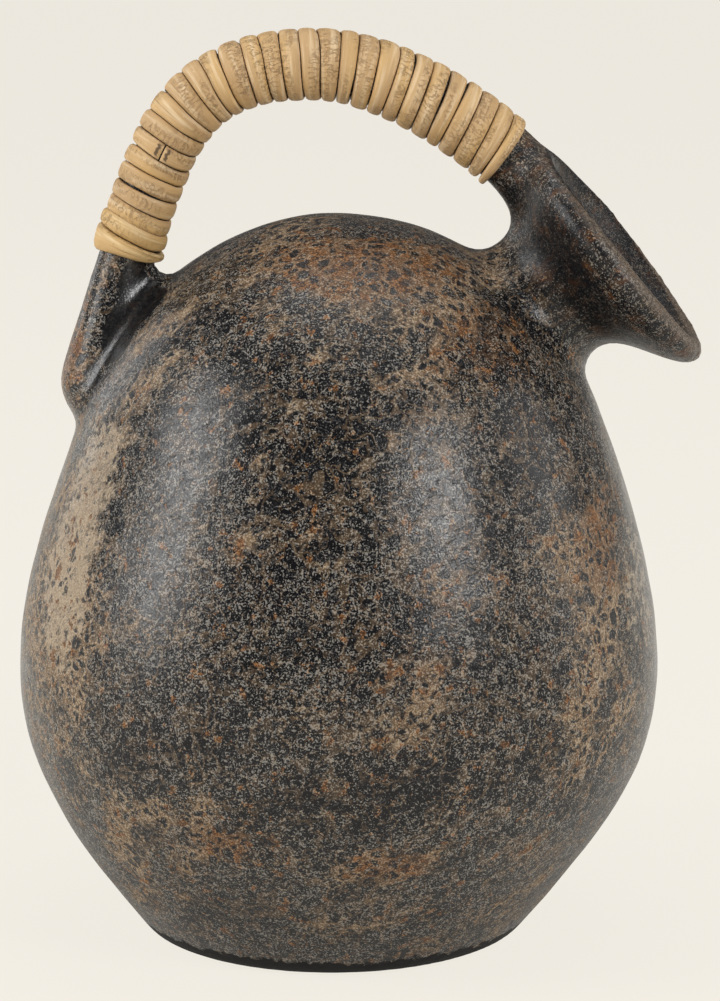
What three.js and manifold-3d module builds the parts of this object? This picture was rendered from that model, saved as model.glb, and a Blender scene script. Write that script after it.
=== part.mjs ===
// A jug vase: an egg-shaped ceramic vessel with a flared side spout, a ceramic arch handle that runs from
// the spout's lip to the far shoulder, and split cane wound round the handle.
// Millimetres, +Z up, origin at the centre of the flat base, spout towards +X, front face towards -Y.
import * as THREE from "three";
import { mergeVertices } from "three/addons/utils/BufferGeometryUtils.js";
import Module from "manifold-3d";

const wasm = await Module();
wasm.setup();

// Vessel
const BASE_RADIUS = 61.5;
const BASE_EDGE_ROUND = 4;
const FLOOR_THICKNESS = 7;
const WALL = 7;
const BELLY_RADIUS = 106;
const BELLY_HEIGHT = 89;
const SHOULDER_RADIUS = 83.6;
const SHOULDER_HEIGHT = 180;
const SHOULDER_LEAN = 0.43;
const CROWN_HEIGHT = 239;

// Spout
const SPOUT_SEAT_HEIGHT = 209.5;
const SPOUT_ANGLE = 38;
const SPOUT_LENGTH = 35.3;
const SPOUT_DROOP = 3.6;
const THROAT_RADIUS = 22.8;
const THROAT_HEIGHT = 6;
const BORE_RADIUS = 17.5;
const MOUTH_RADIUS = 43.6;
const LIP_ROUND = 4.8;
const ROOT_FLARE = 8.5;
const ROOT_EDGE = 0.8;

// Handle
const HANDLE_RADIUS_SPOUT = 10.6;
const HANDLE_RADIUS_LEG = 9.2;
const ARCH_CLEARANCE = 38.1;
const ARCH_APEX_X = -8;
const ROOT_REACH = 44;
const ROOT_SINK = 1.4;
const ROOT_LEAN = 46;
const ROOT_BURIED = 22;
const LEG_LENGTH = 52;
const LEG_LEAN = 17.8;
const HEEL_HEIGHT = 186;
const HEEL_STANDOFF = 1.2;
const HEEL_HALF_WIDTH = 17;

// Cane binding
const CANE_WIDTH = 5.15;
const CANE_THICKNESS = 1.7;
const CANE_EDGE = 1;
const BINDING_WIDTH = 4;
const BARE_ROOT = 5;
const BARE_LEG = 42;
const SHORT_TURNS = 4;
const BINDING_TURNS = 2;
const LEAN_AT_SPOUT = 1.1;
const LEAN_AT_LEG = -2.6;

// Clearances
const SEAT_GAP = 0.3;
const TURN_GAP = 0.7;
const SPLICE_GAP = 0.6;

// Facet counts
const BODY_SIDES = 48;
const SPOUT_SIDES = 36;
const HANDLE_SIDES = 14;
const HANDLE_STEPS = 48;
const STEPS_PER_TURN = 24;

const v2 = (x, y) => new THREE.Vector2(x, y);
const v3 = (x, z) => new THREE.Vector3(x, 0, z);

// Body outline as three cubic curves of (radius, height): foot to belly, belly to shoulder, shoulder to crown.
function bodyCurves() {
  const foot = v2(BASE_RADIUS, 0);
  const belly = v2(BELLY_RADIUS, BELLY_HEIGHT);
  const shoulder = v2(SHOULDER_RADIUS, SHOULDER_HEIGHT);
  const crown = v2(0, CROWN_HEIGHT);
  const spread = BELLY_RADIUS - BASE_RADIUS;
  const waist = SHOULDER_HEIGHT - BELLY_HEIGHT;
  const cap = CROWN_HEIGHT - SHOULDER_HEIGHT;
  const lower = new THREE.CubicBezierCurve(
    foot,
    v2(BASE_RADIUS + 0.74 * spread, 0.45 * BELLY_HEIGHT),
    v2(BELLY_RADIUS, 0.685 * BELLY_HEIGHT),
    belly,
  );
  const upper = new THREE.CubicBezierCurve(
    belly,
    v2(BELLY_RADIUS, BELLY_HEIGHT + 0.264 * waist),
    v2(SHOULDER_RADIUS + SHOULDER_LEAN * 0.33 * waist, SHOULDER_HEIGHT - 0.33 * waist),
    shoulder,
  );
  const top = new THREE.CubicBezierCurve(
    shoulder,
    v2(SHOULDER_RADIUS - SHOULDER_LEAN * 0.37 * cap, SHOULDER_HEIGHT + 0.37 * cap),
    v2(0.545 * SHOULDER_RADIUS, CROWN_HEIGHT),
    crown,
  );
  return [lower, upper, top];
}

const [LOWER, UPPER, TOP] = bodyCurves();

// Parameter at which a rising curve reaches a height.
function parameterAt(curve, height) {
  let low = 0;
  let high = 1;
  for (let i = 0; i < 40; i += 1) {
    const middle = (low + high) / 2;
    if (curve.getPoint(middle).y < height) low = middle;
    else high = middle;
  }
  return (low + high) / 2;
}

// Outer radius of the body at a height.
function bodyRadius(height) {
  if (height >= CROWN_HEIGHT || height < 0) return 0;
  const curve = height < BELLY_HEIGHT ? LOWER : height < SHOULDER_HEIGHT ? UPPER : TOP;
  return curve.getPoint(parameterAt(curve, height)).x;
}

// Points of a curve between two parameters, each moved along its outward normal.
function offsetPoints(curve, from, to, count, offset) {
  const points = [];
  for (let i = 0; i <= count; i += 1) {
    const t = from + ((to - from) * i) / count;
    const tangent = curve.getTangent(t);
    const point = curve.getPoint(t);
    points.push(v2(Math.max(point.x + tangent.y * offset, 0), point.y - tangent.x * offset));
  }
  return points;
}

// Outline of the body above the belly, moved outwards by an offset and ended exactly on the axis.
function domeOutline(offset) {
  const points = offsetPoints(UPPER, 0, 1, 6, offset);
  points.push(...offsetPoints(TOP, 0, 1, 8, offset).slice(1));
  points[0].y = BELLY_HEIGHT;
  points[points.length - 1].x = 0;
  return points;
}

// Circle of revolution about +Z from an outline of (radius, height).
function revolve(outline, sides) {
  const geometry = new THREE.LatheGeometry(outline, sides);
  geometry.rotateX(Math.PI / 2);
  return geometry;
}

// Capped cylinder of unit radius whose points are carried to new places by a function of (x, along, z).
function bendCylinder(sides, steps, place) {
  const geometry = new THREE.CylinderGeometry(1, 1, 1, sides, steps);
  const position = geometry.attributes.position;
  for (let i = 0; i < position.count; i += 1) {
    const p = place(position.getX(i), position.getY(i) + 0.5, position.getZ(i));
    position.setXYZ(i, p.x, p.y, p.z);
  }
  return geometry;
}

// Manifold solid of a closed geometry.
function solidOf(geometry) {
  const bare = geometry.clone();
  bare.deleteAttribute("normal");
  bare.deleteAttribute("uv");
  const merged = mergeVertices(bare, 1e-4);
  const index = merged.index.array;
  const triangles = [];
  for (let i = 0; i < index.length; i += 3) {
    const [a, b, c] = [index[i], index[i + 1], index[i + 2]];
    if (a !== b && b !== c && c !== a) triangles.push(a, b, c);
  }
  const mesh = new wasm.Mesh({
    numProp: 3,
    vertProperties: new Float32Array(merged.attributes.position.array),
    triVerts: new Uint32Array(triangles),
  });
  return new wasm.Manifold(mesh);
}

// Geometry of a manifold solid.
function geometryOf(solid) {
  const mesh = solid.getMesh();
  const geometry = new THREE.BufferGeometry();
  geometry.setAttribute("position", new THREE.BufferAttribute(new Float32Array(mesh.vertProperties), 3));
  geometry.setIndex(new THREE.BufferAttribute(new Uint32Array(mesh.triVerts), 1));
  geometry.computeVertexNormals();
  return geometry;
}

// Materials
function glaze() {
  return new THREE.MeshStandardMaterial({ color: 0x2f2b28, roughness: 0.45, metalness: 0 });
}

function bareClay() {
  return new THREE.MeshStandardMaterial({ color: 0x1d1a18, roughness: 0.8, metalness: 0 });
}

function cane() {
  return new THREE.MeshStandardMaterial({ color: 0xc9a878, roughness: 0.55, metalness: 0 });
}

function paleCane() {
  return new THREE.MeshStandardMaterial({ color: 0xd8bd7c, roughness: 0.55, metalness: 0 });
}

function named(name, geometry, material) {
  const mesh = new THREE.Mesh(geometry, material);
  mesh.name = name;
  return mesh;
}

// Floor slab with a rounded lower edge; its rim follows the body outline up to the floor's top.
function baseDisc() {
  const rimRadius = bodyRadius(FLOOR_THICKNESS);
  const outline = new THREE.Path();
  outline.moveTo(0, 0);
  outline.lineTo(BASE_RADIUS - BASE_EDGE_ROUND, 0);
  outline.quadraticCurveTo(BASE_RADIUS, 0, bodyRadius(BASE_EDGE_ROUND), BASE_EDGE_ROUND);
  outline.lineTo(rimRadius, FLOOR_THICKNESS);
  outline.lineTo(0, FLOOR_THICKNESS);
  return named("base_disc", revolve(outline.getPoints(4), BODY_SIDES), bareClay());
}

// Wall from the floor's top to the belly seam, of even thickness square to its slope.
function lowerBowl() {
  const steps = 7;
  const start = parameterAt(LOWER, FLOOR_THICKNESS);
  const outer = [];
  const inner = [];
  for (let i = 0; i <= steps; i += 1) {
    const t = start + ((1 - start) * i) / steps;
    const point = LOWER.getPoint(t);
    const height = i === 0 ? FLOOR_THICKNESS : i === steps ? BELLY_HEIGHT : point.y;
    outer.push(v2(point.x, height));
    inner.unshift(v2(point.x - WALL / LOWER.getTangent(t).y, height));
  }
  return named("lower_bowl", revolve([...outer, ...inner, outer[0]], BODY_SIDES), glaze());
}

// Seat of the spout on the body, with its axis, the way down its slope and its place in the jug's frame.
function spoutFrame() {
  const tilt = THREE.MathUtils.degToRad(SPOUT_ANGLE);
  const seat = v3(bodyRadius(SPOUT_SEAT_HEIGHT), SPOUT_SEAT_HEIGHT);
  const matrix = new THREE.Matrix4().makeRotationY(Math.PI / 2 - tilt).setPosition(seat);
  return { seat, turn: Math.PI / 2 - tilt, matrix };
}

const SPOUT = spoutFrame();

// Dome closed at the crown, hollow, with the spout's bore cut through its wall.
function upperDome() {
  const outer = domeOutline(0);
  const inner = domeOutline(-WALL).reverse();
  const shell = solidOf(revolve([...outer, ...inner, outer[0]], BODY_SIDES));
  const drill = new THREE.CylinderGeometry(BORE_RADIUS, BORE_RADIUS, 6 * WALL, SPOUT_SIDES);
  drill.rotateX(Math.PI / 2);
  drill.applyMatrix4(SPOUT.matrix);
  return named("upper_dome", geometryOf(shell.subtract(solidOf(drill))), glaze());
}

// Height of the body's skin in the spout's own frame, along the spout's axis under a local point.
function skinHeight(x, y) {
  let low = -60;
  let high = 20;
  const point = new THREE.Vector3();
  for (let i = 0; i < 40; i += 1) {
    const middle = (low + high) / 2;
    point.set(x, y, middle).applyMatrix4(SPOUT.matrix);
    if (Math.hypot(point.x, point.y) < bodyRadius(point.z)) low = middle;
    else high = middle;
  }
  return (low + high) / 2;
}

// Outer outline of the spout from its flared root to the middle of its lip, grown by an offset.
function spoutOuter(offset) {
  const lipCentre = v2(MOUTH_RADIUS - LIP_ROUND, SPOUT_LENGTH - LIP_ROUND);
  const under = THREE.MathUtils.degToRad(-42);
  const tip = v2(Math.cos(under), Math.sin(under)).multiplyScalar(LIP_ROUND).add(lipCentre);
  const along = v2(-Math.sin(under), Math.cos(under));
  const rise = tip.y - THROAT_HEIGHT;
  const outline = new THREE.Path();
  outline.moveTo(THROAT_RADIUS + ROOT_FLARE, 0);
  outline.lineTo(THROAT_RADIUS + ROOT_FLARE, ROOT_EDGE);
  outline.bezierCurveTo(
    THROAT_RADIUS + 0.45 * ROOT_FLARE,
    ROOT_EDGE + 0.08 * THROAT_HEIGHT,
    THROAT_RADIUS,
    0.5 * THROAT_HEIGHT,
    THROAT_RADIUS,
    THROAT_HEIGHT,
  );
  outline.bezierCurveTo(
    THROAT_RADIUS,
    THROAT_HEIGHT + 0.45 * rise,
    tip.x - along.x * 0.5 * rise,
    tip.y - along.y * 0.5 * rise,
    tip.x,
    tip.y,
  );
  outline.absarc(lipCentre.x, lipCentre.y, LIP_ROUND, under, Math.PI / 2, false);
  return outline.getPoints(4).map((p) => v2(p.x + offset, p.y));
}

// Inner outline of the spout from its lip down the funnel and the bore to the body's skin.
function spoutInner() {
  const lipCentre = v2(MOUTH_RADIUS - LIP_ROUND, SPOUT_LENGTH - LIP_ROUND);
  const inside = THREE.MathUtils.degToRad(140);
  const start = v2(Math.cos(inside), Math.sin(inside)).multiplyScalar(LIP_ROUND).add(lipCentre);
  const along = v2(-Math.sin(inside), Math.cos(inside));
  const fall = start.y - THROAT_HEIGHT;
  const outline = new THREE.Path();
  outline.moveTo(lipCentre.x, SPOUT_LENGTH);
  outline.absarc(lipCentre.x, lipCentre.y, LIP_ROUND, Math.PI / 2, inside, false);
  outline.bezierCurveTo(
    start.x + along.x * 0.55 * fall,
    start.y + along.y * 0.55 * fall,
    BORE_RADIUS,
    THROAT_HEIGHT + 0.5 * fall,
    BORE_RADIUS,
    THROAT_HEIGHT,
  );
  outline.lineTo(BORE_RADIUS, 0);
  return outline.getPoints(4);
}

// Carries a straight spout to its own: the mouth slides down the slope and the root settles on the body's skin.
function settleSpout(geometry) {
  const position = geometry.attributes.position;
  for (let i = 0; i < position.count; i += 1) {
    const x = position.getX(i);
    const y = position.getY(i);
    const z = position.getZ(i);
    if (z < THROAT_HEIGHT) {
      const skin = skinHeight(x, y) + SEAT_GAP;
      position.setZ(i, skin + (z / THROAT_HEIGHT) * (THROAT_HEIGHT - skin));
    } else {
      const share = Math.min((z - THROAT_HEIGHT) / (SPOUT_LENGTH - THROAT_HEIGHT), 1);
      position.setX(i, x + SPOUT_DROOP * THREE.MathUtils.smoothstep(share, 0, 1));
    }
  }
  return geometry;
}

function spout() {
  const outer = spoutOuter(0);
  const floor = [];
  for (let i = 1; i < 4; i += 1) {
    floor.push(v2(BORE_RADIUS + ((outer[0].x - BORE_RADIUS) * i) / 4, 0));
  }
  const outline = [...outer, ...spoutInner(), ...floor, outer[0]];
  const shapely = outline.filter((p, i) => i === 0 || p.distanceTo(outline[i - 1]) > 0.05);
  return named("spout", settleSpout(revolve(shapely, SPOUT_SIDES)), glaze());
}

// Space the handle's root must leave free: the spout's outside, filled in and carried on past its mouth.
function spoutCutter() {
  const outer = spoutOuter(SEAT_GAP).filter((p) => p.y <= SPOUT_LENGTH - LIP_ROUND);
  const past = SPOUT_LENGTH + 2 * HANDLE_RADIUS_SPOUT;
  const outline = [v2(0, 0), ...outer, v2(MOUTH_RADIUS + SEAT_GAP, past), v2(0, past)];
  const shapely = outline.filter((p, i) => i === 0 || p.distanceTo(outline[i - 1]) > 0.05);
  const geometry = settleSpout(revolve(shapely, SPOUT_SIDES));
  return solidOf(geometry.applyMatrix4(SPOUT.matrix));
}

// Centreline of the handle from inside the spout's rim over the arch and down the leg into the shoulder.
function handleCurve() {
  const archHeight = CROWN_HEIGHT + ARCH_CLEARANCE + HANDLE_RADIUS_SPOUT;
  const underLip = SPOUT_LENGTH - HANDLE_RADIUS_SPOUT - ROOT_SINK;
  const inSpout = (uphill) => new THREE.Vector3(SPOUT_DROOP - uphill, 0, underLip).applyMatrix4(SPOUT.matrix);
  const buried = inSpout(ROOT_BURIED);
  const root = inSpout(ROOT_REACH);
  const apex = v3(ARCH_APEX_X, archHeight);
  const lean = THREE.MathUtils.degToRad(LEG_LEAN);
  const down = v3(-Math.sin(lean), -Math.cos(lean));
  const heel = v3(-bodyRadius(HEEL_HEIGHT) - HEEL_STANDOFF, HEEL_HEIGHT);
  const legTop = heel.clone().addScaledVector(down, -LEG_LENGTH);
  const inside = v3(heel.x + HANDLE_RADIUS_LEG, HEEL_HEIGHT - 2 * HANDLE_RADIUS_LEG);
  const rootLean = THREE.MathUtils.degToRad(ROOT_LEAN);
  const leave = v3(-Math.sin(rootLean), Math.cos(rootLean));
  const rightSpan = root.x - apex.x;
  const leftSpan = apex.x - legTop.x;
  const path = new THREE.CurvePath();
  path.add(new THREE.LineCurve3(buried, root));
  path.add(
    new THREE.CubicBezierCurve3(
      root,
      root.clone().addScaledVector(leave, 0.4 * rightSpan),
      v3(apex.x + 0.3 * rightSpan, archHeight),
      apex,
    ),
  );
  path.add(
    new THREE.CubicBezierCurve3(
      apex,
      v3(apex.x - 0.66 * leftSpan, archHeight),
      legTop.clone().addScaledVector(down, -0.6 * leftSpan),
      legTop,
    ),
  );
  path.add(new THREE.LineCurve3(legTop, heel));
  path.add(
    new THREE.QuadraticBezierCurve3(
      heel,
      heel.clone().addScaledVector(down, 0.8 * HANDLE_RADIUS_LEG),
      inside,
    ),
  );
  return path;
}

const ARCH = handleCurve();
const ARCH_LENGTHS = ARCH.getCurveLengths();
const ARCH_LENGTH = ARCH.getLength();

// Handle frame at a distance along its centreline: place, outward and sideways directions and half sizes.
function handleFrame(distance) {
  const share = THREE.MathUtils.clamp(distance / ARCH_LENGTH, 0, 1);
  const centre = ARCH.getPoint(share);
  const ahead = ARCH.getPoint(Math.min(share + 0.002, 1));
  const behind = ARCH.getPoint(Math.max(share - 0.002, 0));
  const tangent = ahead.sub(behind).normalize();
  const outward = new THREE.Vector3(tangent.z, 0, -tangent.x);
  const legStart = ARCH_LENGTHS[2];
  const heelAt = ARCH_LENGTHS[3];
  const taper = THREE.MathUtils.smoothstep(distance, ARCH_LENGTHS[0], legStart);
  const depth = HANDLE_RADIUS_SPOUT + (HANDLE_RADIUS_LEG - HANDLE_RADIUS_SPOUT) * taper;
  const spread = THREE.MathUtils.smoothstep(distance, legStart + 0.2 * (heelAt - legStart), heelAt);
  const width = depth + (HEEL_HALF_WIDTH - depth) * spread;
  return { centre, outward, sideways: new THREE.Vector3(0, -1, 0), depth, width };
}

// Point on or above the handle's surface at a distance along it and an angle from its outer side.
function handlePoint(distance, angle, height) {
  const frame = handleFrame(distance);
  return frame.centre
    .addScaledVector(frame.outward, (frame.depth + height) * Math.cos(angle))
    .addScaledVector(frame.sideways, (frame.width + height) * Math.sin(angle));
}

// Ceramic core of the handle, cut to sit on the spout's flare and on the shoulder.
function handleArch() {
  const rod = bendCylinder(HANDLE_SIDES, HANDLE_STEPS, (x, along, z) => {
    const frame = handleFrame(along * ARCH_LENGTH);
    return frame.centre
      .addScaledVector(frame.outward, frame.depth * x)
      .addScaledVector(frame.sideways, frame.width * z);
  });
  const outline = [v2(0, BELLY_HEIGHT), ...domeOutline(SEAT_GAP)];
  const body = solidOf(revolve(outline, BODY_SIDES));
  const core = solidOf(rod).subtract(body).subtract(spoutCutter());
  return named("handle_arch", geometryOf(core), glaze());
}

// Stations of the winding: where each strip begins and ends in turns, and how far along the handle a turn lies.
function windingPlan() {
  const pitch = CANE_WIDTH + TURN_GAP;
  const bindingPitch = BINDING_WIDTH + TURN_GAP;
  const from = ARCH_LENGTHS[0] + BARE_ROOT;
  const to = ARCH_LENGTHS[3] - BARE_LEG;
  const room = to - from - BINDING_TURNS * bindingPitch - SHORT_TURNS * pitch;
  const longTurns = Math.min(Math.max(Math.floor(room / pitch), 2), 24);
  const shortEnd = longTurns + SHORT_TURNS;
  const distanceAt = (turn) => {
    const wide = Math.min(turn, shortEnd);
    return from + wide * pitch + (turn - wide) * bindingPitch;
  };
  return { longTurns, shortEnd, end: shortEnd + BINDING_TURNS, distanceAt };
}

const WINDING = windingPlan();

// Point of a strip at a turn count, a distance across the strip and a height above the core.
function stripPoint(turn, across, height) {
  const angle = -2 * Math.PI * turn + Math.PI / 2;
  const share = turn / WINDING.end;
  const lean = (LEAN_AT_SPOUT + (LEAN_AT_LEG - LEAN_AT_SPOUT) * share) * Math.cos(angle);
  return handlePoint(WINDING.distanceAt(turn) - across + lean, angle, SEAT_GAP + height);
}

// One strip of cane: flat inside, crowned outside, wound from one turn count to another.
function strip(name, from, to, width, material) {
  const steps = Math.round((to - from) * STEPS_PER_TURN);
  const edge = Math.sin(Math.PI / 3);
  const geometry = bendCylinder(6, steps, (x, along, z) => {
    const crown = z > 0.75 ? CANE_THICKNESS : z > 0.1 ? CANE_EDGE : 0;
    const height = Math.hypot(x, z) < 0.1 ? CANE_THICKNESS / 2 : crown;
    return stripPoint(from + (to - from) * along, (x / edge) * (width / 2), height);
  });
  const gap = leastTurnGap(from, to, width);
  console.log(`${name}: least gap between turns ${gap.toFixed(2)} mm`);
  return named(name, geometry, material);
}

// Least distance between one turn's leading edge and the next turn's trailing edge, measured on points.
function leastTurnGap(from, to, width) {
  let least = Infinity;
  const steps = Math.round((to - from - 1) * STEPS_PER_TURN);
  for (let i = 0; i <= steps; i += 1) {
    const turn = from + i / STEPS_PER_TURN;
    for (const height of [0, CANE_EDGE]) {
      const leading = stripPoint(turn, -width / 2, height);
      for (let shift = -6; shift <= 6; shift += 1) {
        const near = Math.min(Math.max(turn + 1 + shift / (4 * STEPS_PER_TURN), from), to);
        least = Math.min(least, leading.distanceTo(stripPoint(near, width / 2, height)));
      }
    }
  }
  return least;
}

// Cane winding: a long strip, a short strip spliced to it on the front and the binding that locks the end.
function caneBinding() {
  const group = new THREE.Group();
  group.name = "cane_winding";
  const turnLength = 2 * Math.PI * (HANDLE_RADIUS_LEG + SEAT_GAP);
  const cut = SPLICE_GAP / turnLength;
  const { longTurns, shortEnd, end } = WINDING;
  group.add(strip("cane_strip_long", 0, longTurns - cut, CANE_WIDTH, cane()));
  group.add(strip("cane_strip_short", longTurns + cut, shortEnd - cut, CANE_WIDTH, cane()));
  group.add(strip("cane_end_binding", shortEnd + cut, end, BINDING_WIDTH, paleCane()));
  return group;
}

function vessel() {
  const group = new THREE.Group();
  group.name = "vessel";
  group.add(baseDisc(), lowerBowl(), upperDome());
  return group;
}

function pouringEnd() {
  const group = new THREE.Group();
  group.name = "pouring_end";
  group.position.copy(SPOUT.seat);
  group.rotation.y = SPOUT.turn;
  group.add(spout());
  return group;
}

const jug = new THREE.Group();
jug.name = "jug_vase";
jug.add(vessel(), pouringEnd(), handleArch(), caneBinding());

export default jug;
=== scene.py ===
"""Looks of a mottled ceramic jug vase with a cane-wound arch handle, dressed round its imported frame."""

import logging
import math
from dataclasses import dataclass, field
from enum import Enum
from typing import Any, Sequence, Union

import bmesh
import bpy
from mathutils import Matrix, Vector, noise
from mathutils.geometry import interpolate_bezier


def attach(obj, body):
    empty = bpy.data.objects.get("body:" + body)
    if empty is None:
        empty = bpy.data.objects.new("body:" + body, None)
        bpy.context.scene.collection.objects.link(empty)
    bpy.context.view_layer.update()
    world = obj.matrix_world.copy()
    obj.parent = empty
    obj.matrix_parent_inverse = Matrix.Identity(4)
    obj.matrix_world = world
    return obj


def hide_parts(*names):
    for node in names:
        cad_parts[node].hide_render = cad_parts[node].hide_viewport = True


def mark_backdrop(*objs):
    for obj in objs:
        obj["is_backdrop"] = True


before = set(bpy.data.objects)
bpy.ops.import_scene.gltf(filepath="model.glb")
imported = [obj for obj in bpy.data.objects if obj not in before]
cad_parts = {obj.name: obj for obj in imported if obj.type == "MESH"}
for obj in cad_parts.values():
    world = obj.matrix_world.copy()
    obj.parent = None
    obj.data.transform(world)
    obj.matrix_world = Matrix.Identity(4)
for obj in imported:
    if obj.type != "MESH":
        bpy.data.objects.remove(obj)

LOG = logging.getLogger("jug")
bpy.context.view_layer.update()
MM = 0.001
Triple = tuple[float, float, float]
Colour = Triple
Piece = bpy.types.Object
Shape = bmesh.types.BMesh
Socket = bpy.types.NodeSocket


def smooth_step(value: float, low: float, high: float) -> float:
    """Return a share that eases from 0 at low to 1 at high."""
    share = min(max((value - low) / (high - low), 0.0), 1.0)
    return share * share * (3.0 - 2.0 * share)


def flat(radius: float, height: float) -> Vector:
    """Return a point of an outline in the XZ plane, in millimetres."""
    return Vector((radius, 0.0, height))


class Signal:
    """A number on its way through a material's nodes, with Python's operators for its maths."""

    def __init__(self, dress: "Dressing", socket: Socket) -> None:
        """Wrap one output socket of a material's node."""
        self.dress = dress
        self.socket = socket

    def _math(self, operation: str, first: Any, second: Any = None) -> "Signal":
        """Return the result of a Math node, whose second value may be left out."""
        values = {0: first} if second is None else {0: first, 1: second}
        made = self.dress.node("ShaderNodeMath", {"operation": operation}, values)
        return Signal(self.dress, made.outputs[0])

    def __add__(self, other: Any) -> "Signal":
        """Return this plus another."""
        return self._math("ADD", self, other)

    __radd__ = __add__

    def __sub__(self, other: Any) -> "Signal":
        """Return this less another."""
        return self._math("SUBTRACT", self, other)

    def __rsub__(self, other: Any) -> "Signal":
        """Return another less this."""
        return self._math("SUBTRACT", other, self)

    def __mul__(self, other: Any) -> "Signal":
        """Return this times another."""
        return self._math("MULTIPLY", self, other)

    __rmul__ = __mul__

    def __abs__(self) -> "Signal":
        """Return this without its sign."""
        return self._math("ABSOLUTE", self)

    def above(self, low: Any, high: Any) -> "Signal":
        """Return a mask that eases from 0 at low to 1 at high, which may be below low."""
        settings = {"interpolation_type": "SMOOTHSTEP"}
        made = self.dress.node("ShaderNodeMapRange", settings, {0: self, 1: low, 2: high, 3: 0.0, 4: 1.0})
        return Signal(self.dress, made.outputs[0])

    def most(self, other: Any) -> "Signal":
        """Return the larger of this and another."""
        return self._math("MAXIMUM", self, other)

    def held(self) -> "Signal":
        """Return this kept between 0 and 1."""
        return self._math("MINIMUM", self._math("MAXIMUM", self, 0.0), 1.0)


Value = Union[float, Signal, Socket, Sequence[float]]


class Dressing:
    """One material and the nodes it is made of."""

    def __init__(self, name: str) -> None:
        """Start an empty material of this name with a shader and an output."""
        self.material = bpy.data.materials.new(name)
        self.material.use_nodes = True
        self.tree = self.material.node_tree
        self.tree.nodes.clear()
        self.shader = self.node("ShaderNodeBsdfPrincipled", {}, {})
        output = self.node("ShaderNodeOutputMaterial", {}, {})
        self.tree.links.new(self.shader.outputs[0], output.inputs["Surface"])

    def node(self, kind: str, settings: dict[str, Any], values: dict[Any, Value]) -> bpy.types.Node:
        """Add a node.

        Args:
            kind: the node's type.
            settings: its own settings, which are set first.
            values: values or links of its input sockets, by name or number.

        Returns:
            The node.
        """
        made = self.tree.nodes.new(kind)
        for key, value in settings.items():
            setattr(made, key, value)
        for key, value in values.items():
            self.put(made.inputs[key], value)
        return made

    def put(self, socket: Socket, value: Value) -> None:
        """Link or set one input socket.

        Args:
            socket: the input socket.
            value: a signal or socket to link, or a constant to set.
        """
        value = value.socket if isinstance(value, Signal) else value
        if isinstance(value, Socket):
            self.tree.links.new(value, socket)
        elif isinstance(value, (int, float)):
            socket.default_value = value
        else:
            full = tuple(value) + (1.0,) if len(value) == 3 and socket.type == "RGBA" else tuple(value)
            socket.default_value = full

    def place(self) -> Socket:
        """Return the object's own coordinates in millimetres."""
        coordinates = self.node("ShaderNodeTexCoord", {}, {})
        return self.vector("SCALE", coordinates.outputs["Object"], scale=1.0 / MM)

    def vector(self, operation: str, first: Value, second: Value = (0.0, 0.0, 0.0),
               scale: float = 1.0) -> Socket:
        """Add a Vector Math node.

        Args:
            operation: the node's operation.
            first: its first vector.
            second: its second vector.
            scale: its scale, for the operation SCALE.

        Returns:
            The resulting vector.
        """
        made = self.node("ShaderNodeVectorMath", {"operation": operation}, {0: first, 1: second})
        made.inputs[3].default_value = scale
        return made.outputs[0]

    def measure(self, operation: str, first: Value, second: Value = (0.0, 0.0, 0.0)) -> Signal:
        """Return the number that a Vector Math node such as LENGTH gives."""
        made = self.node("ShaderNodeVectorMath", {"operation": operation}, {0: first, 1: second})
        return Signal(self, made.outputs["Value"])

    def attribute(self, name: str) -> Signal:
        """Return a vertex attribute as a signal."""
        return Signal(self, self.node("ShaderNodeAttribute", {"attribute_name": name}, {}).outputs["Fac"])

    def axis(self, vector: Socket, name: str) -> Signal:
        """Return one axis of a vector as a signal."""
        return Signal(self, self.node("ShaderNodeSeparateXYZ", {}, {0: vector}).outputs[name])

    def joined(self, x: Value, y: Value, z: Value) -> Socket:
        """Return a vector made of three numbers."""
        return self.node("ShaderNodeCombineXYZ", {}, {0: x, 1: y, 2: z}).outputs[0]

    def cloud(self, vector: Value, lumps: "Lumps") -> Signal:
        """Add soft noise.

        Args:
            vector: the place it is read at, in millimetres.
            lumps: what the noise is like.

        Returns:
            The noise, about 0 to 1.
        """
        step = lumps.seed * lumps.size
        apart = self.vector("ADD", vector, (37.0 * step, 11.0 * step, 0.0))
        values = {"Vector": apart, "Scale": 1.0 / lumps.size,
                  "Detail": lumps.detail, "Roughness": lumps.rough}
        return Signal(self, self.node("ShaderNodeTexNoise", {}, values).outputs[0])

    def warped(self, vector: Value, size: float, reach: float) -> Socket:
        """Return places pushed about, up to a reach, by soft noise with lumps of a size."""
        made = self.node("ShaderNodeTexNoise", {}, {"Vector": vector, "Scale": 1.0 / size, "Detail": 2.0})
        centred = self.vector("SUBTRACT", made.outputs["Color"], (0.5, 0.5, 0.5))
        return self.vector("ADD", vector, self.vector("SCALE", centred, scale=2.0 * reach))

    def cells(self, vector: Value, size: float, feature: str, output: str) -> Socket:
        """Return one output of a pattern of cells of a size, which measures a feature."""
        values = {"Vector": vector, "Scale": 1.0 / size}
        return self.node("ShaderNodeTexVoronoi", {"feature": feature}, values).outputs[output]

    def blend(self, factor: Value, first: Value, second: Value) -> Socket:
        """Return the mix of two colours, by the share of the second."""
        made = self.node("ShaderNodeMix", {"data_type": "RGBA"}, {0: factor, 6: first, 7: second})
        return made.outputs[2]

    def layered(self, ground: Value, layers: Sequence[tuple[Value, Value]]) -> Socket:
        """Return a colour with layers, each a share and a colour, laid over it in turn."""
        for share, colour in layers:
            ground = self.blend(share, ground, colour)
        return ground

    def near(self, vector: Value, spot: "Spot") -> Signal:
        """Return a mask that falls from 1 at a spot's middle to 0 at its edge."""
        shifted = self.vector("SUBTRACT", vector, spot.middle)
        scaled = self.vector("DIVIDE", shifted, spot.reach)
        return self.measure("LENGTH", scaled).above(1.0, 0.25)

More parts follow.
